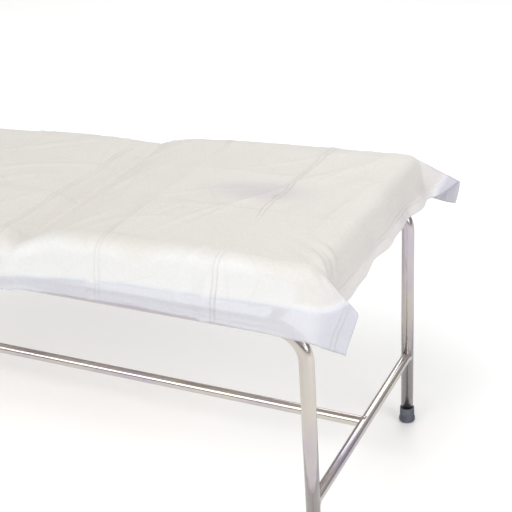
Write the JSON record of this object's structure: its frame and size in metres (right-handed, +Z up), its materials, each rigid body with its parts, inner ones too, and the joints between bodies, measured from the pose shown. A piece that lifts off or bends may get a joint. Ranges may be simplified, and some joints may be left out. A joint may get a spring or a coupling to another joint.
{
  "type": "massage_couch",
  "caption": "Padded massage couch on a chrome tube frame with a lifting head section, a breathing hole and a draped non-woven sheet.",
  "frame": {"origin": "on the floor under the middle of the couch", "axes": "+X towards the head end with the breathing hole, +Y to the far side, +Z up"},
  "size_m": [1.98, 0.651, 0.7199],
  "materials": {
    "chrome": "mirror-bright plating on bent tube",
    "zinc": "zinc plated, satin",
    "enamel": "satin cream-white enamel",
    "rubber": "matte dark grey moulded rubber",
    "plywood": "raw plywood",
    "foam": "open-cell upholstery foam",
    "vinyl": "smooth ivory upholstery vinyl, soft sheen",
    "non_woven": "thin white non-woven sheet, slightly see-through"
  },
  "bodies": {
    "frame": {"body_board": "plywood", "body_cover": "vinyl", "body_foam": "foam", "bracket_1_far": "zinc", "bracket_1_near": "zinc", "bracket_2_far": "zinc", "bracket_2_near": "zinc", "bracket_3_far": "zinc", "bracket_3_near": "zinc", "bracket_screw_1_far": "zinc", "bracket_screw_1_near": "zinc", "bracket_screw_2_far": "zinc", "bracket_screw_2_near": "zinc", "bracket_screw_3_far": "zinc", "bracket_screw_3_near": "zinc", "end_bar_foot": "chrome", "end_bar_head": "chrome", "hinge_post_far": "enamel", "hinge_post_near": "enamel", "pivot_bolt_far": "chrome", "pivot_bolt_near": "chrome", "pivot_nut_far": "zinc", "pivot_nut_near": "zinc", "rack_far": "zinc", "rack_near": "zinc", "rest_buffer_far": "rubber", "rest_buffer_near": "rubber", "rubber_tip_foot_far": "rubber", "rubber_tip_foot_near": "rubber", "rubber_tip_head_far": "rubber", "rubber_tip_head_near": "rubber", "sheet_body": "non_woven", "side_frame_far": "chrome", "side_frame_near": "chrome", "stretcher": "chrome", "top_rail_foot": "chrome", "top_rail_head": "chrome", "top_rail_hinge": "chrome", "top_rail_middle": "chrome"},
    "head_section": {"clip_screw_1_far": "zinc", "clip_screw_1_near": "zinc", "clip_screw_2_far": "zinc", "clip_screw_2_near": "zinc", "head_board": "plywood", "head_cover": "vinyl", "head_foam": "foam", "hinge_arm_far": "enamel", "hinge_arm_near": "enamel", "hinge_screw_1_far": "zinc", "hinge_screw_1_near": "zinc", "hinge_screw_2_far": "zinc", "hinge_screw_2_near": "zinc", "prop_clip_far": "zinc", "prop_clip_near": "zinc", "sheet_head": "non_woven"},
    "prop": {"prop_frame": "chrome"}
  },
  "joints": [
    {"name": "head_lift", "type": "hinge", "parent": "frame", "child": "head_section", "pos_m": [0.264, 0, 0.6555], "axis": [0, -1, 0], "range_deg": [0, 58]},
    {"name": "prop_swing", "type": "hinge", "parent": "head_section", "child": "prop", "pos_m": [0.46529, 0, 0.60875], "axis": [0, -1, 0], "range_deg": [-105, 0]}
  ],
  "couplings": [
    {"joint": "prop_swing", "follows": "head_lift", "ratio": -1.8086}
  ]
}
